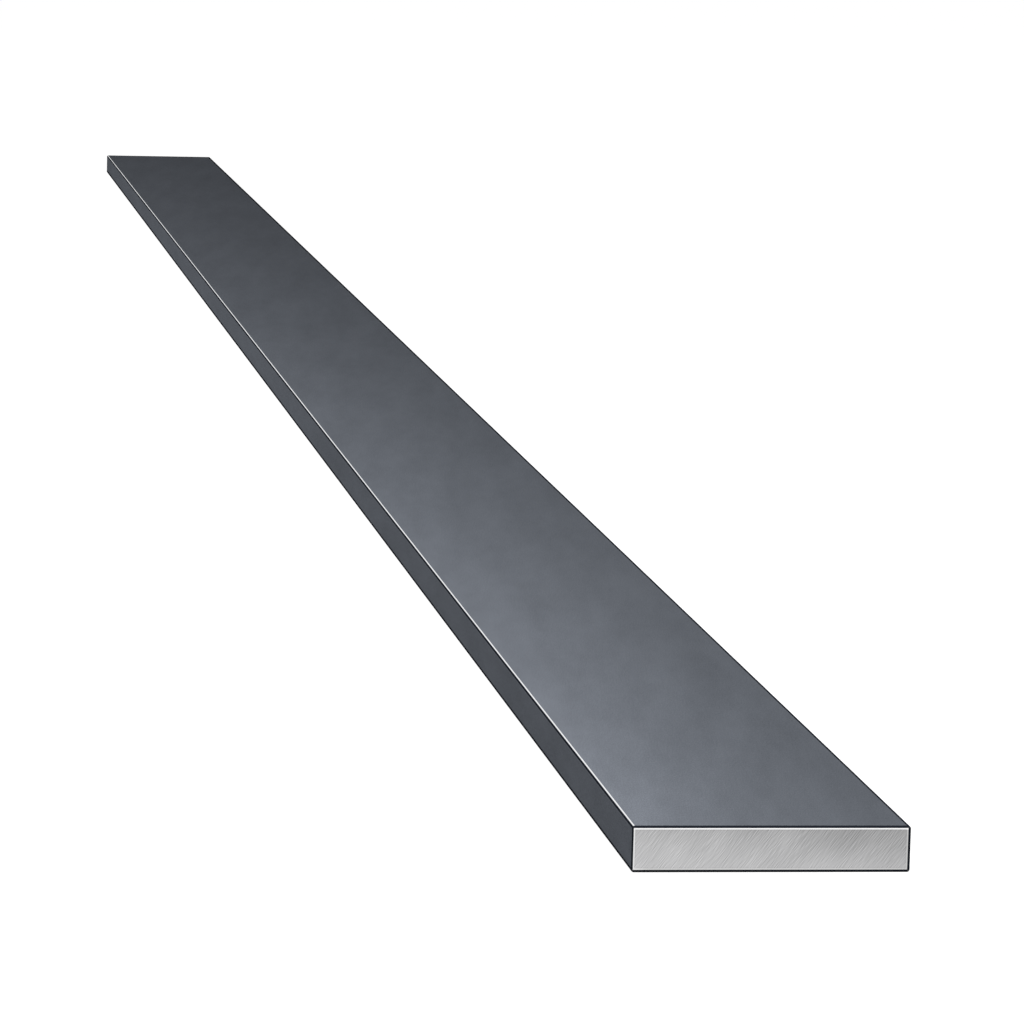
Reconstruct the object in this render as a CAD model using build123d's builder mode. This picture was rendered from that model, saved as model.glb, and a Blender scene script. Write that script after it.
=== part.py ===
from build123d import *
import os

# Hot-rolled steel flat bar, one sawn length of stock. Millimetres.
# X runs along the bar, Y across its width and Z up through its thickness.
# The origin is in the middle of the underside, on the floor that the bar lies on.

# Rolled section
bar_width = 30.0
bar_thickness = 5.0
corner_radius = 0.3  # the four long edges, as they leave the rolls

# Sawn length
bar_length = 1000.0
end_radius = 0.25  # the edge all round each sawn end, eased with a file


# Flat bar: the rolled section, standing on the floor plane, carried along the length
end_plane = Plane.YZ.offset(-bar_length / 2)

with BuildPart() as flat_bar:
    with BuildSketch(end_plane):
        with Locations((0, bar_thickness / 2)):
            RectangleRounded(bar_width, bar_thickness, corner_radius)
    extrude(amount=bar_length)

    # Both sawn ends lose their burr, so the outline of each end face is rounded over
    sawn_ends = flat_bar.faces().filter_by(Axis.X)
    fillet(sawn_ends.edges(), radius=end_radius)

flat_bar.part.label = "flat_bar"

os.makedirs("parts", exist_ok=True)
export_step(flat_bar.part, "parts/flat_bar.step")
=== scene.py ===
import math

import bmesh
import bpy
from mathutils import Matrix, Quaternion, Vector, noise


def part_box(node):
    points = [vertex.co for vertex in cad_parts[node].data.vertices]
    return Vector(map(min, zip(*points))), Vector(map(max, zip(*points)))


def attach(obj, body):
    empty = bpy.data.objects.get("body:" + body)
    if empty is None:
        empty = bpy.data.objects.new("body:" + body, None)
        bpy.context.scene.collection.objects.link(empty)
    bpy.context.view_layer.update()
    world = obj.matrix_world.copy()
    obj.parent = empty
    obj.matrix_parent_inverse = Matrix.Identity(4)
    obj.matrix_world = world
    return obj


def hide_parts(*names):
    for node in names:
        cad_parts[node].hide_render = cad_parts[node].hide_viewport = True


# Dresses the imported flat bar: one length of hot-rolled steel, with dark scale on its rolled faces and
# bright ground steel on its sawn ends. Metres, in the frame of the CAD part: X along the bar with the
# near end at +X, Y across its width with the viewer's left at -Y, Z up from the floor that it lies on.

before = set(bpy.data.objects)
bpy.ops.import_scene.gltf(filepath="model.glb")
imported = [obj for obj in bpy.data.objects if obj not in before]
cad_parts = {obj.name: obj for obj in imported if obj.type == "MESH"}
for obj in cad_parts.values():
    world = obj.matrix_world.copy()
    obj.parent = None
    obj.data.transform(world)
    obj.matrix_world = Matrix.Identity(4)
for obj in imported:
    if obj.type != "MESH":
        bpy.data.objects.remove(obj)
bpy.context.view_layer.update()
LOW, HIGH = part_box("flat_bar")
LENGTH = HIGH.x - LOW.x
MIDDLE = HIGH.z / 2  # half-way up
MM = 0.001

CORNER_RADIUS = 0.3 * MM  # the four long edges, as they leave the rolls
END_RADIUS = 0.25 * MM  # the filed edge all round each sawn end


# -------------------------------------------------------------------------------------------- camera

CAMERA_PLACE = Vector((1.0415, -0.1020, 0.1127))
CAMERA_AIM = Vector((0.2570, 0.0042, HIGH.z))
CAMERA_ROLL = math.radians(1.485)
CAMERA_LENS, CAMERA_SENSOR = 185.9, 36  # millimetres
CAMERA_CLIP = 0.01


def make_camera():
    data = bpy.data.cameras.new("camera")
    data.lens = CAMERA_LENS
    data.sensor_width = CAMERA_SENSOR
    data.clip_start = CAMERA_CLIP
    camera = bpy.data.objects.new("camera", data)
    bpy.context.scene.collection.objects.link(camera)
    look = (CAMERA_AIM - CAMERA_PLACE).to_track_quat("-Z", "Y")
    camera.location = CAMERA_PLACE
    camera.rotation_euler = (look @ Quaternion((0, 0, 1), CAMERA_ROLL)).to_euler()
    bpy.context.scene.camera = camera


# ----------------------------------------------------------------------------- the section's outline

ARC_STEPS = 8  # faces round each long edge, and round each sawn end's edge
FINE_GRID = 0.1 * MM  # spacing on the sawn ends, fine enough for their scratches
COARSE_WIDE, COARSE_NARROW = 14, 2  # faces across a wide and a narrow side, along the bar

# The corner arcs' centres (y, z), anticlockwise as seen from +X, from the lower one at +Y. Each is
# followed by a flat side: narrow, wide, narrow, wide.
CENTRE_Y = HIGH.y - CORNER_RADIUS
CENTRE_LOW, CENTRE_HIGH = LOW.z + CORNER_RADIUS, HIGH.z - CORNER_RADIUS
CENTRES = [(CENTRE_Y, CENTRE_LOW), (CENTRE_Y, CENTRE_HIGH),
           (-CENTRE_Y, CENTRE_HIGH), (-CENTRE_Y, CENTRE_LOW)]
FINE_WIDE = round(2 * CENTRE_Y / FINE_GRID)
FINE_NARROW = round((CENTRE_HIGH - CENTRE_LOW) / FINE_GRID)


def stations(wide, narrow):
    """Places round the section, from 0 to 4: a corner's arc runs from each whole number to the half
    after it, and the flat side from there to the next whole number."""
    places = []
    for corner, steps in enumerate((narrow, wide, narrow, wide)):
        places += [corner + 0.5 * step / ARC_STEPS for step in range(ARC_STEPS)]
        places += [corner + 0.5 + 0.5 * step / steps for step in range(steps)]
    return places + [4.0]


def section_point(station, inset):
    """The point (y, z) at a station of the section's outline, pulled in by inset."""
    corner, share = divmod(station, 1)
    y, z = CENTRES[int(corner) % 4]
    angle = math.pi / 2 * (corner - 1 + min(2 * share, 1))
    if share > 0.5:
        next_y, next_z = CENTRES[int(corner + 1) % 4]
        along = 2 * share - 1
        y, z = y + along * (next_y - y), z + along * (next_z - z)
    radius = CORNER_RADIUS - inset
    return y + radius * math.cos(angle), z + radius * math.sin(angle)


FINE = stations(FINE_WIDE, FINE_NARROW)
COARSE = stations(COARSE_WIDE, COARSE_NARROW)


# -------------------------------------------------------------------------------------------- UV map

# The map "OFBake" lays the bar out for textures: the long body in short lengths side by side, with the
# narrow rounded edges drawn wider than they are, and both sawn ends large, in a column of their own.
COLUMNS, ROWS = 4, 4
BODY_LENGTHS = COLUMNS * ROWS
BODY_SHARE = 0.895  # of the map's width, the rest being the ends' column
MARGIN = 0.004
ARC_SHARE, NARROW_SHARE, WIDE_SHARE = 0.04, 0.08, 0.34  # of a length's width on the map
END_SCALE = 15.5  # of the map for each metre of a sawn end
END_OFFSET = 0.25  # of the map, from its middle to the middle of each end


def across(station):
    """Where a station lies across a length of the body on the UV map, from 0 to 1."""
    corner, share = divmod(station, 1)
    if corner > 3:
        return 1.0
    flats = (NARROW_SHARE, WIDE_SHARE) * 2
    before = int(corner) * ARC_SHARE + sum(flats[: int(corner)])
    return before + ARC_SHARE * min(2 * share, 1) + flats[int(corner)] * max(2 * share - 1, 0)


def body_places(x, middle, outline):
    """UV places of a ring at x, on the length of the body that middle is in."""
    length = LENGTH / BODY_LENGTHS
    index = min(int((HIGH.x - middle) / length), BODY_LENGTHS - 1)
    column, row = index % COLUMNS, index // COLUMNS
    cell_width, cell_height = BODY_SHARE / COLUMNS, 1 / ROWS
    along = (HIGH.x - x) / length - index
    v = row * cell_height + MARGIN + along * (cell_height - 2 * MARGIN)
    return [(column * cell_width + MARGIN + across(s) * (cell_width - 2 * MARGIN), v) for s in outline]


def end_place(sign, y, z):
    """UV place of a point of a sawn end: its width runs up the map, with the far end above the near."""
    u = (1 + BODY_SHARE) / 2 + sign * END_SCALE * (z - MIDDLE)
    return u, 0.5 - sign * END_OFFSET + END_SCALE * y


def end_places(sign, verts):
    return [end_place(sign, vert.co.y, vert.co.z) for vert in verts]


# ---------------------------------------------------------------------------------------- bar's mesh

BODY_STEPS = 48  # rings of faces along the bar
FINE_LENGTH = 3 * MM  # behind each sawn end, where the fine outline runs into the coarse one
SCALE_STEPS = 4  # how many of the end edge's faces, from the rolled faces on, take the scale material and its painted shade
SCALE_SLOT, STEEL_SLOT = 0, 1
FLATS_WEIGHT = 100  # the most there is: the large faces set the normals, not the narrow rounded ones

# The furrows that grinding has cut into the sawn ends
SCRATCH_ANGLE = math.radians(52.5)  # above +Y, on either end
SCRATCH_DEPTH = 0.006 * MM
RIM_FADE = 0.4 * MM  # they run out over this distance, inside the outline of the ground face
WIDE_FURROW = (2.2 * MM, 0.28 * MM)  # length and width
THIN_FURROW = (1.2 * MM, 0.13 * MM)
MEAN_DEPTH, WIDE_WEIGHT, THIN_WEIGHT = 0.5, 0.8, 0.5  # of SCRATCH_DEPTH
BEND = 0.1  # radians, to either side of the angle
BENDS_PER_METRE = 300
END_SEED, THIN_SEED = 3.7, 7  # places in the noise, the first with the end's sign


def ring(bm, x, outline, inset=0.0):
    """New vertices round the section at x, with the first one again at the list's end."""
    verts = [bm.verts.new((x, *section_point(s, inset))) for s in outline[:-1]]
    return verts + verts[:1]


def band(bm, ring_a, ring_b, places_a, places_b, slot):
    """Faces between two rings of as many vertices. A vertex that ring_b repeats makes a triangle."""
    uv_map = bm.loops.layers.uv["OFBake"]
    for i in range(len(ring_a) - 1):
        corners = [(ring_a[i], places_a[i]), (ring_b[i], places_b[i]),
                   (ring_b[i + 1], places_b[i + 1]), (ring_a[i + 1], places_a[i + 1])]
        if ring_b[i] is ring_b[i + 1]:
            del corners[2]
        face = bm.faces.new([vert for vert, _ in corners])
        face.material_index = slot
        face.smooth = True
        for loop, (_, place) in zip(face.loops, corners):
            loop[uv_map].uv = place


def scratch_depth(y, z, seed):
    """How deep the grinding has cut at a point of a sawn end: long slanting furrows of mixed width."""
    bend = BEND * noise.noise(Vector((y * BENDS_PER_METRE, z * BENDS_PER_METRE, seed)))
    angle = SCRATCH_ANGLE + bend
    along = y * math.cos(angle) + z * math.sin(angle)
    over = z * math.cos(angle) - y * math.sin(angle)
    wide = noise.noise(Vector((along / WIDE_FURROW[0], over / WIDE_FURROW[1], seed)))
    thin = noise.noise(Vector((along / THIN_FURROW[0], over / THIN_FURROW[1], seed + THIN_SEED)))
    inside = min(CENTRE_Y - abs(y), CENTRE_HIGH - z, z - CENTRE_LOW)
    fade = min(max(inside / RIM_FADE, 0), 1)
    return fade * SCRATCH_DEPTH * min(max(MEAN_DEPTH + WIDE_WEIGHT * wide + THIN_WEIGHT * thin, 0), 1)


def filed_edge(bm, sign, outer):
    """The eased edge round one end. Returns its last ring, and that ring's UV places."""
    inner = outer
    inner_places = [end_place(sign, *section_point(s, END_RADIUS * (1 - math.pi / 2))) for s in FINE]
    for step in range(1, ARC_STEPS + 1):
        angle = math.pi / 2 * step / ARC_STEPS
        x = sign * HIGH.x - sign * END_RADIUS * (1 - math.sin(angle))
        next_ring = ring(bm, x, FINE, END_RADIUS * (1 - math.cos(angle)))
        # On the map the edge is unrolled, so that it keeps its width
        unrolled = END_RADIUS * (1 - math.pi / 2 + angle)
        next_places = [end_place(sign, *section_point(s, unrolled)) for s in FINE]
        slot = SCALE_SLOT if step <= SCALE_STEPS else STEEL_SLOT
        band(bm, inner, next_ring, inner_places, next_places, slot)
        inner, inner_places = next_ring, next_places
    return inner, inner_places


def ground_grid(bm, sign):
    """The vertices of one ground end face, as rows of constant y from -Y on, each from the bottom up."""
    grid = []
    for i in range(FINE_WIDE + 1):
        y = -CENTRE_Y + 2 * CENTRE_Y * i / FINE_WIDE
        heights = [CENTRE_LOW + (CENTRE_HIGH - CENTRE_LOW) * j / FINE_NARROW for j in range(FINE_NARROW + 1)]
        depths = [scratch_depth(y, z, END_SEED * sign) for z in heights]
        grid.append([bm.verts.new((sign * HIGH.x - sign * d, y, z)) for z, d in zip(heights, depths)])
    return grid


def sawn_end(bm, sign, outer):
    """Closes the bar at one end: the filed edge, then the ground face on a fine grid."""
    edge, edge_places = filed_edge(bm, sign, outer)
    grid = ground_grid(bm, sign)
    right, left = grid[-1], grid[0]
    top, bottom = [row[-1] for row in grid], [row[0] for row in grid]
    rim = []
    for side in (right, top[::-1], left[::-1], bottom):
        rim += [side[0]] * ARC_STEPS + side[:-1]
    rim.append(rim[0])
    band(bm, edge, rim, edge_places, end_places(sign, rim), STEEL_SLOT)
    for row, next_row in zip(grid, grid[1:]):
        band(bm, row, next_row, end_places(sign, row), end_places(sign, next_row), STEEL_SLOT)


def bar_mesh():
    bm = bmesh.new()
    bm.loops.layers.uv.new("OFBake")
    near_x, far_x = HIGH.x - END_RADIUS, LOW.x + END_RADIUS
    step = LENGTH / BODY_STEPS
    between = [HIGH.x - step * i for i in range(1, BODY_STEPS)]
    coarse_x = [near_x - FINE_LENGTH, *between, far_x + FINE_LENGTH]
    coarse = [ring(bm, x, COARSE) for x in coarse_x]
    for (x, verts), (next_x, next_verts) in zip(zip(coarse_x, coarse), zip(coarse_x[1:], coarse[1:])):
        places = [body_places(at, (x + next_x) / 2, COARSE) for at in (x, next_x)]
        band(bm, verts, next_verts, *places, SCALE_SLOT)

    # Behind each end, every vertex of the fine outline is joined to the nearest one of the coarse outline
    joined = [min(range(len(COARSE)), key=lambda i: abs(COARSE[i] - s)) for s in FINE]
    for sign, x, inner, inner_x in ((1, near_x, coarse[0], coarse_x[0]),
                                    (-1, far_x, coarse[-1], coarse_x[-1])):
        outer = ring(bm, x, FINE)
        inner_places = body_places(inner_x, x, COARSE)
        band(bm, outer, [inner[i] for i in joined], body_places(x, x, FINE),
             [inner_places[i] for i in joined], SCALE_SLOT)
        sawn_end(bm, sign, outer)

    bmesh.ops.recalc_face_normals(bm, faces=bm.faces)
    mesh = bpy.data.meshes.new("dressed_flat_bar")
    bm.to_mesh(mesh)
    bm.free()
    return mesh


def make_bar():
    bar = bpy.data.objects.new("dressed_flat_bar", bar_mesh())
    bpy.context.scene.collection.objects.link(bar)
    bar.data.materials.append(scale_material())
    bar.data.materials.append(steel_material())
    flats = bar.modifiers.new("flat_faces_stay_flat", "WEIGHTED_NORMAL")
    flats.weight = FLATS_WEIGHT
    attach(bar, "root")
    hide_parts("flat_bar")


# ---------------------------------------------------------------------------------------- node trees


class Nodes:
    """The node tree of a new material or world, with short calls that add a node and link it."""

    def __init__(self, owner):
        owner.use_nodes = True
        self.owner = owner
        self.tree = owner.node_tree
        self.tree.nodes.clear()

    def add(self, kind, **settings):
        node = self.tree.nodes.new(kind)
        for name, value in settings.items():
            setattr(node, name, value)
        return node

    def put(self, value, socket):
        """Links a socket's value, or sets a plain one."""
        if isinstance(value, bpy.types.NodeSocket):
            self.tree.links.new(value, socket)
        else:
            socket.default_value = value

    def math(self, operation, *values):
        node = self.add("ShaderNodeMath", operation=operation)
        for value, socket in zip(values, node.inputs):
            self.put(value, socket)
        return node.outputs[0]

    def minus(self, a, b):
        return self.math("SUBTRACT", a, b)

    def times(self, a, b):
        return self.math("MULTIPLY", a, b)

    def sum(self, start, *terms):
        """start, with each (value, weight) weighted and added."""
        total = start
        for value, weight in terms:
            total = self.math("MULTIPLY_ADD", value, weight, total)
        return total

    def ramp(self, value, low, high, to_low=0.0, to_high=1.0):
        """to_low where value is low or under, to_high where it is high or over, smooth between."""
        node = self.add("ShaderNodeMapRange", interpolation_type="SMOOTHSTEP")
        for name, number in (("Value", value), ("From Min", low), ("From Max", high),
                             ("To Min", to_low), ("To Max", to_high)):
            self.put(number, node.inputs[name])
        return node.outputs["Result"]

    def split(self, vector):
        node = self.add("ShaderNodeSeparateXYZ")
        self.put(vector, node.inputs[0])
        return node.outputs

    def surface_place(self):
        """A point of the surface, as a vector, and its x, y and z."""
        place = self.add("ShaderNodeTexCoord").outputs["Object"]
        return place, *self.split(place)

    def fitted(self, place, size, turn, seed=0.0):
        """A place counted in steps of size (x, y, z), along axes that are turned."""
        moved = self.add("ShaderNodeMapping", vector_type="TEXTURE")
        self.put(place, moved.inputs["Vector"])
        moved.inputs["Location"].default_value = (seed, seed, seed)
        moved.inputs["Rotation"].default_value = turn
        moved.inputs["Scale"].default_value = size
        return moved.outputs[0]

    def noise(self, place, size, turn=(0, 0, 0), seed=0.0):
        """Noise from -1 to 1 about, with features of size (x, y, z), turned about the axes."""
        node = self.add("ShaderNodeTexNoise", normalize=False)
        self.put(self.fitted(place, size, turn, seed), node.inputs["Vector"])
        node.inputs["Scale"].default_value = 1
        node.inputs["Detail"].default_value = 0
        return node.outputs["Fac"]

    def lines(self, place, spacing, turn, wander):
        """Waves from -1 to 1 along the turned Z axis, one to a spacing, shifted by wander spacings."""
        over = self.split(self.fitted(place, (1, 1, spacing), turn))[2]
        return self.math("SINE", self.times(self.math("ADD", over, wander), 2 * math.pi))

    def mix(self, factor, a, b):
        node = self.add("ShaderNodeMix", data_type="RGBA")
        for value, index in ((factor, 0), (a, 6), (b, 7)):
            self.put(value, node.inputs[index])
        return node.outputs[2]

    def scaled(self, colour, factor):
        """A colour, made lighter or darker by a factor that varies over the surface."""
        node = self.add("ShaderNodeVectorMath", operation="SCALE")
        node.inputs[0].default_value = colour[:3]
        self.put(factor, node.inputs["Scale"])
        return node.outputs[0]

    def bump(self, height, distance):
        node = self.add("ShaderNodeBump")
        self.put(height, node.inputs["Height"])
        node.inputs["Distance"].default_value = distance
        return node.outputs[0]

    def ray_is(self, *kinds):
        """1 for rays of one of these kinds, else 0."""
        path = self.add("ShaderNodeLightPath")
        total = path.outputs[kinds[0]]
        for kind in kinds[1:]:
            total = self.math("MAXIMUM", total, path.outputs[kind])
        return total

    def show(self, shader, output="ShaderNodeOutputMaterial"):
        """Puts a shader on the output. Returns the material or world."""
        self.put(shader.outputs[0], self.add(output).inputs["Surface"])
        return self.owner

    def shade(self, **inputs):
        """A Principled shader on the material's output. Plain values are set on its own sockets."""
        shader = self.add("ShaderNodeBsdfPrincipled")
        for name, value in inputs.items():
            self.put(value, shader.inputs[name.replace("_", " ")])
        return self.show(shader)


def grey(level):
    return (level, level, level, 1)


# ---------------------------------------------------------------------------------------- mill scale

SCALE_COLOUR = (0.1298, 0.1410, 0.1616, 1)  # blue-grey
SCALE_ROUGHNESS = 0.52
SATIN = 0.08  # the share of the scale that shines as metal
SATIN_TINT = 0.1  # how bright that shine gets at a glancing angle

# The texture's noises: the size of their features, and how much lighter or darker they make the scale
CLOUD_TURN = (0, 0, math.radians(-7))
CLOUD_SIZE, CLOUD_WEIGHT = (38 * MM, 5 * MM, 5 * MM), 0.085
MOTTLE_SIZE, MOTTLE_WEIGHT = (8 * MM, 1.5 * MM, 1.5 * MM), 0.045
SPECKLE_SIZE, SPECKLE_WEIGHT = (2.6 * MM, 0.24 * MM, 0.24 * MM), 0.045
GRAIN_SIZE, GRAIN_WEIGHT = (0.5 * MM, 0.09 * MM, 0.09 * MM), 0.2
MOTTLE_ROUGHNESS = 0.06
MOTTLE_BUMP, GRAIN_BUMP, SCALE_BUMP = 0.5, 0.3, 0.01 * MM

# Painted sheen: towards the near end the top is painted lighter at its -Y edge and darker at its +Y edge by
# the first of these, and both edges lighter by the second times the square of that. The third is how far
# back it reaches
PAINTED_SHEEN, PAINTED_SHEEN_CURVE, PAINTED_SHEEN_REACH = 0.29, 1.25, 0.55
NEAR_GLOW, NEAR_GLOW_REACH = 0.07, 0.06  # painted light: how much lighter all faces are at the near end, and how far that reaches
TOP_FROM, TOP_TO = 0.5 * MM, 0.1 * MM  # below the top face: a point starts to count as top, and fully does

# Painted shade: a dark line along every long edge, EDGE_WIDTH over each side at the near end and EDGE_SPREAD
# more at the far end. Both are less at the edge with the painted highlight, and the width is more at the
# lower two
EDGE_SHADE_COLOUR = (0.0135, 0.016, 0.0225, 1)
EDGE_WIDTH, EDGE_SPREAD, EDGE_BLUR = 0.44 * MM, 0.26 * MM, 0.03 * MM
HIGHLIGHT_LESS, HIGHLIGHT_SPREAD_LESS = 0.18 * MM, 0.18 * MM
LOWER_MORE = 0.05 * MM

# The ends get painted shade too: dark up to FAR_BAND from the far end's plane, fading out by FAR_BAND_END.
# From the near end's plane it is dark up to NEAR_BAND, or NEAR_BAND_TOP farther on top, and fades out over
# NEAR_BLUR
FAR_BAND, FAR_BAND_END, FAR_DARKNESS = 0.72 * MM, 2.4 * MM, 0.9
NEAR_BAND, NEAR_BAND_TOP, NEAR_BLUR = END_RADIUS - 0.06 * MM, 0.09 * MM, 0.17 * MM

# Painted highlight: a bright, smoother, metallic strip along the upper -Y edge where it catches the light,
# between these distances from its narrow side
EDGE_HIGHLIGHT_COLOUR = (0.82, 0.83, 0.84, 1)
HIGHLIGHT_FROM, HIGHLIGHT_TO, HIGHLIGHT_BLUR = 0.135 * MM, 0.27 * MM, 0.02 * MM
HIGHLIGHT_HEIGHT = 0.12 * MM  # below the top face, where it stops
HIGHLIGHT_SMOOTHER = 0.2


def fading(n, x, reach):
    """1 at the near end, and less behind it: 0.37 at the distance of reach."""
    return n.math("EXPONENT", n.math("DIVIDE", n.minus(x, HIGH.x), reach))


def painted_light_tone(n, x, y, on_top):
    """Painted light on the scale near the near end, about 1: a painted sheen across the top, and all faces
    painted lighter by the end.
    """
    fade = fading(n, x, PAINTED_SHEEN_REACH)
    slope = n.times(n.times(fade, on_top), n.times(y, -PAINTED_SHEEN / HIGH.y))
    near_slope = n.times(slope, fade)
    curve = n.times(near_slope, near_slope)
    return n.sum(1.0, (slope, 1.0), (curve, PAINTED_SHEEN_CURVE), (fading(n, x, NEAR_GLOW_REACH), NEAR_GLOW))


def painted_edge_shade(n, x, y, z):
    """1 on the painted shade along the long edges, else 0."""
    far = n.math("DIVIDE", n.minus(HIGH.x, x), LENGTH)
    by_highlight = n.times(n.math("LESS_THAN", y, 0.0), n.math("GREATER_THAN", z, MIDDLE))
    width = n.sum(EDGE_WIDTH, (far, EDGE_SPREAD), (by_highlight, -HIGHLIGHT_LESS),
                  (n.times(far, by_highlight), -HIGHLIGHT_SPREAD_LESS),
                  (n.math("LESS_THAN", z, MIDDLE), LOWER_MORE))
    from_narrow = n.minus(HIGH.y, n.math("ABSOLUTE", y))
    from_wide = n.minus(MIDDLE, n.math("ABSOLUTE", n.minus(z, MIDDLE)))
    beyond = n.minus(n.math("MAXIMUM", from_narrow, from_wide), width)
    return n.ramp(beyond, -EDGE_BLUR, EDGE_BLUR, 1, 0)


def painted_edge_highlight(n, y, z):
    """1 on the painted highlight along the upper -Y edge, else 0."""
    from_side = n.minus(y, LOW.y)
    on_edge = n.times(n.ramp(from_side, HIGHLIGHT_FROM - HIGHLIGHT_BLUR, HIGHLIGHT_FROM + HIGHLIGHT_BLUR),
                      n.ramp(from_side, HIGHLIGHT_TO, HIGHLIGHT_TO + 2 * HIGHLIGHT_BLUR, 1, 0))
    return n.times(on_edge, n.math("LESS_THAN", n.minus(HIGH.z, z), HIGHLIGHT_HEIGHT))


def scale_material():
    n = Nodes(bpy.data.materials.new("mill_scale"))
    place, x, y, z = n.surface_place()

    # Soft clouds drawn out along the bar, then finer mottling, speckle and grain
    clouds = n.noise(place, CLOUD_SIZE, turn=CLOUD_TURN)
    mottle = n.noise(place, MOTTLE_SIZE, turn=CLOUD_TURN, seed=3)
    grain = n.noise(place, GRAIN_SIZE, seed=5)
    speckle = n.noise(place, SPECKLE_SIZE, turn=CLOUD_TURN, seed=9)
    texture = n.sum(1.0, (clouds, CLOUD_WEIGHT), (mottle, MOTTLE_WEIGHT),
                    (speckle, SPECKLE_WEIGHT), (grain, GRAIN_WEIGHT))
    on_top = n.ramp(z, HIGH.z - TOP_FROM, HIGH.z - TOP_TO)
    # The scale's own tone, times the painted light near the near end
    colour = n.scaled(SCALE_COLOUR, n.times(texture, painted_light_tone(n, x, y, on_top)))

    # Painted shade by both ends and along the long edges
    behind_far = n.ramp(n.minus(x, LOW.x), FAR_BAND, FAR_BAND_END, FAR_DARKNESS, 0)
    past_band = n.minus(n.minus(HIGH.x, x), n.sum(NEAR_BAND, (on_top, NEAR_BAND_TOP)))
    behind_near = n.ramp(past_band, 0, NEAR_BLUR, 1, 0)
    painted_end_shade = n.math("MAXIMUM", behind_far, behind_near)
    shade_mask = n.math("MAXIMUM", painted_edge_shade(n, x, y, z), painted_end_shade)
    colour = n.mix(shade_mask, colour, EDGE_SHADE_COLOUR)
    # A painted highlight on the upper -Y edge, which stops by the near end
    highlight = n.times(painted_edge_highlight(n, y, z), n.minus(1.0, behind_near))
    colour = n.mix(highlight, colour, EDGE_HIGHLIGHT_COLOUR)

    return n.shade(Base_Color=colour,
                   Metallic=n.math("MAXIMUM", n.times(SATIN, n.minus(1.0, shade_mask)), highlight),
                   Roughness=n.sum(SCALE_ROUGHNESS, (highlight, -HIGHLIGHT_SMOOTHER), (mottle, MOTTLE_ROUGHNESS)),
                   Specular_IOR_Level=0.0,
                   Specular_Tint=n.mix(highlight, grey(SATIN_TINT), grey(1.0)),
                   Normal=n.bump(n.sum(0.0, (mottle, MOTTLE_BUMP), (grain, GRAIN_BUMP)), SCALE_BUMP))


# -------------------------------------------------------------------------------------- ground steel

STEEL_COLOUR = (0.479, 0.4785, 0.4835, 1)
STEEL_SMOOTH, STEEL_ROUGH = 0.34, 0.46  # roughness, which varies with the fine scratches
STEEL_BUMP = 0.005 * MM

# Painted shade: a dark line round each sawn end, reaching this far in from the plane of the face beside it,
# widest at the right and below
END_OUTLINE_SHADE = (0.026, 0.031, 0.044, 1)
SHADE_OVER_TOP, SHADE_OVER_LEFT = 0.20 * MM, 0.155 * MM
SHADE_OVER_RIGHT, SHADE_UNDER = 0.315 * MM, 0.31 * MM
SHADE_BLUR = 0.01 * MM

# Just inside that dark line runs the rim of bright filed steel, with painted light on it: a painted white
# highlight along the top, a plain grey along the other three sides, painted lighter at -Y, and turning to a
# painted shade towards +Y
RIM_WIDTH, RIM_BLUR, TOP_RIM_BLUR = 0.15 * MM, 0.03 * MM, 0.05 * MM
TOP_RIM_HIGHLIGHT = (1.0, 1.0, 1.0, 1)
SIDE_RIM_COLOUR = (0.63, 0.63, 0.63, 1)
LEFT_RIM_HIGHLIGHT, LEFT_RIM_LENGTH = 1.3, 2 * MM
RIGHT_RIM_SHADE, RIGHT_RIM_LENGTH = (0.58, 0.58, 0.58, 1), 12 * MM
LIP_SHADE, LIP_FROM, LIP_TO = 0.93, 0.05 * MM, 0.2 * MM  # the ground face is a little darker by the rim

# How the ground face's tone changes from its middle to +Y, to the top, and to the corner of the two
RIGHT_SLOPE, TOP_SLOPE, CORNER_SLOPE = -0.12, -0.14, -0.02

# Its noises, which don't vary along X: the size of their features (x, along the scratches, across them),
# and how much lighter or darker they make the face
BROAD_SIZE, BROAD_WEIGHT = (1, 4 * MM, 3 * MM), 0.11
FINE_SIZE, FINE_WEIGHT, FINE_SPREAD = (1, 2.2 * MM, 0.14 * MM), 0.01, 0.5
PATCH_SIZE = (1, 1 * MM, 0.2 * MM)
WANDER_SIZE, WANDER = (1, 4 * MM, 1.5 * MM), 0.4
HAIR_SPACING, HAIR_WEIGHT = 0.205 * MM, 0.5


def ground_tone(n, place, y, z, fine):
    """Scratches that slant up from lower left to upper right, over slow changes of tone. About 1."""
    turn = (SCRATCH_ANGLE, 0, 0)
    broad = n.noise(place, BROAD_SIZE, turn=turn)
    patches = n.noise(place, PATCH_SIZE, turn=turn, seed=6)
    wander = n.noise(place, WANDER_SIZE, turn=turn, seed=8)
    hair = n.times(n.lines(place, HAIR_SPACING, turn, n.times(wander, WANDER)), patches)
    to_right = n.math("DIVIDE", y, HIGH.y)
    to_top = n.math("DIVIDE", n.minus(z, MIDDLE), MIDDLE)
    return n.sum(1.0, (to_right, RIGHT_SLOPE), (to_top, TOP_SLOPE),
                 (n.times(to_right, to_top), CORNER_SLOPE),
                 (broad, BROAD_WEIGHT), (fine, FINE_WEIGHT), (hair, HAIR_WEIGHT))


# The rim's colour, with painted light: a white highlight on top, lighter at -Y, painted shade towards +Y
def lit_rim_colour(n, y, from_top):
    left = n.ramp(y, LOW.y, LOW.y + LEFT_RIM_LENGTH, LEFT_RIM_HIGHLIGHT, 1.0)
    right = n.ramp(y, HIGH.y - RIGHT_RIM_LENGTH, HIGH.y)
    side = n.mix(right, n.scaled(SIDE_RIM_COLOUR, left), RIGHT_RIM_SHADE)
    return n.mix(n.ramp(from_top, RIM_WIDTH, RIM_WIDTH + TOP_RIM_BLUR, 1, 0), side, TOP_RIM_HIGHLIGHT)


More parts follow.
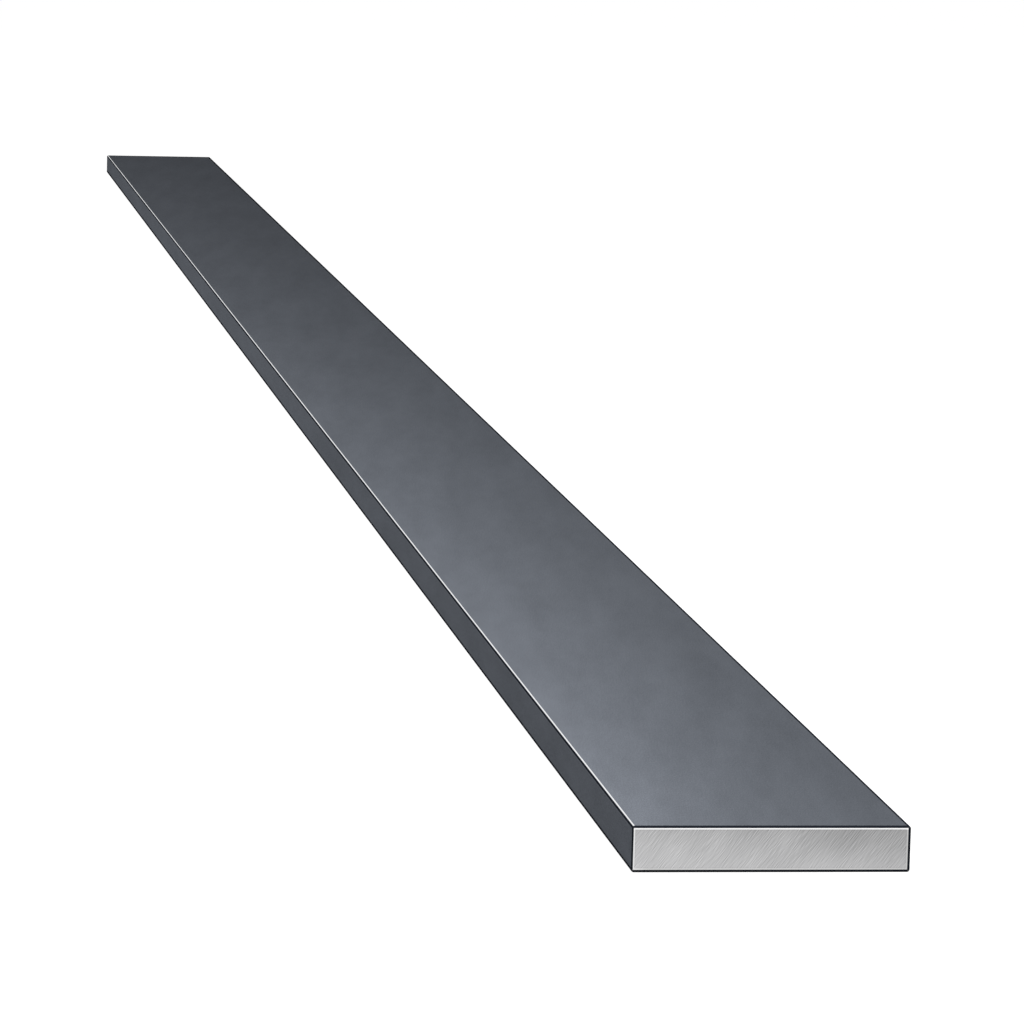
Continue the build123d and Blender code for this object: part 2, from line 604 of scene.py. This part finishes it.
def steel_material():
    n = Nodes(bpy.data.materials.new("ground_steel"))
    place, _, y, z = n.surface_place()
    from_top = n.minus(HIGH.z - SHADE_OVER_TOP, z)
    from_left = n.minus(y, LOW.y + SHADE_OVER_LEFT)
    from_right = n.minus(HIGH.y - SHADE_OVER_RIGHT, y)
    from_bottom = n.minus(z, SHADE_UNDER)
    inside = n.math("MINIMUM", n.math("MINIMUM", from_top, from_bottom),
                    n.math("MINIMUM", from_left, from_right))

    fine = n.noise(place, FINE_SIZE, turn=(SCRATCH_ANGLE, 0, 0), seed=2)
    lip = n.ramp(inside, RIM_WIDTH + LIP_FROM, RIM_WIDTH + LIP_TO, LIP_SHADE, 1)
    colour = n.scaled(STEEL_COLOUR, n.times(ground_tone(n, place, y, z, fine), lip))
    rim = n.ramp(inside, RIM_WIDTH - RIM_BLUR, RIM_WIDTH + RIM_BLUR, 1, 0)
    colour = n.mix(rim, colour, lit_rim_colour(n, y, from_top))
    # Outside this the end is painted dark as shade
    unshaded = n.ramp(inside, -SHADE_BLUR, SHADE_BLUR)
    return n.shade(Base_Color=n.mix(unshaded, END_OUTLINE_SHADE, colour),
                   Metallic=unshaded,
                   Roughness=n.ramp(fine, -FINE_SPREAD, FINE_SPREAD, STEEL_SMOOTH, STEEL_ROUGH),
                   Specular_IOR_Level=0.0,
                   Normal=n.bump(n.times(fine, n.minus(1.0, rim)), STEEL_BUMP))


# -------------------------------------------------------------------------------- floor and lighting

SKY = 0.16  # the soft light from all round
FLOOR_SIZE = 60
FLOOR_GAP = 0.01 * MM  # so that the floor and the underside are never one surface
FLOOR_BOUNCE = 0.3  # the floor's grey for the light that it gives back to the bar
FLOOR_SHADED, FLOOR_GLOW = 0.25, 0.96  # as seen: a grey that takes the bar's shadow, over an even glow


def make_floor():
    """A white floor that still takes the bar's soft shadow. Mirrored in metal it is plain white."""
    n = Nodes(bpy.data.materials.new("white_floor"))
    paint = n.add("ShaderNodeBsdfDiffuse")
    paint.inputs["Color"].default_value = grey(FLOOR_BOUNCE)
    seen_paint = n.add("ShaderNodeBsdfDiffuse")
    seen_paint.inputs["Color"].default_value = grey(FLOOR_SHADED)
    seen_glow = n.add("ShaderNodeEmission")
    seen_glow.inputs["Strength"].default_value = FLOOR_GLOW
    seen = n.add("ShaderNodeAddShader")
    n.put(seen_paint.outputs[0], seen.inputs[0])
    n.put(seen_glow.outputs[0], seen.inputs[1])
    mirrored = n.add("ShaderNodeEmission")
    shader = paint
    for ray, other in ((n.ray_is("Is Camera Ray"), seen),
                       (n.ray_is("Is Glossy Ray", "Is Transmission Ray"), mirrored)):
        mixed = n.add("ShaderNodeMixShader")
        for value, socket in zip((ray, shader.outputs[0], other.outputs[0]), mixed.inputs):
            n.put(value, socket)
        shader = mixed

    bpy.ops.mesh.primitive_plane_add(size=FLOOR_SIZE, location=(0, 0, LOW.z - FLOOR_GAP))
    floor = bpy.context.object
    floor.name = "floor"
    floor.data.materials.append(n.show(shader))


def make_sky():
    """Soft light from all round, and plain white where it is seen, mirrored or looked at through glass."""
    n = Nodes(bpy.data.worlds.new("sky"))
    background = n.add("ShaderNodeBackground")
    background.inputs["Color"].default_value = grey(1.0)
    seen = n.ray_is("Is Camera Ray", "Is Glossy Ray", "Is Transmission Ray")
    n.put(n.ramp(seen, 0, 1, SKY, 1.0), background.inputs["Strength"])
    bpy.context.scene.world = n.show(background, "ShaderNodeOutputWorld")


def add_softbox(name, place, aim, size, power):
    data = bpy.data.lights.new(name, "AREA")
    data.shape = "RECTANGLE"
    data.size, data.size_y = size
    data.energy = power
    lamp = bpy.data.objects.new(name, data)
    lamp.location = place
    lamp.rotation_euler = (Vector(aim) - Vector(place)).to_track_quat("-Z", "Y").to_euler()
    lamp.visible_camera = False
    bpy.context.scene.collection.objects.link(lamp)


make_camera()
make_bar()
make_floor()
make_sky()
add_softbox("overhead_softbox", place=(0.571, -0.02, 0.624), aim=(0.561, 0.0, 0.0),
            size=(0.49, 0.49), power=4.48)
add_softbox("left_softbox", place=(-0.2, -0.6, 0.2), aim=(-0.2, 0.0, 0.0), size=(0.9, 0.3), power=2.52)

bpy.context.scene.view_settings.view_transform = "Standard"
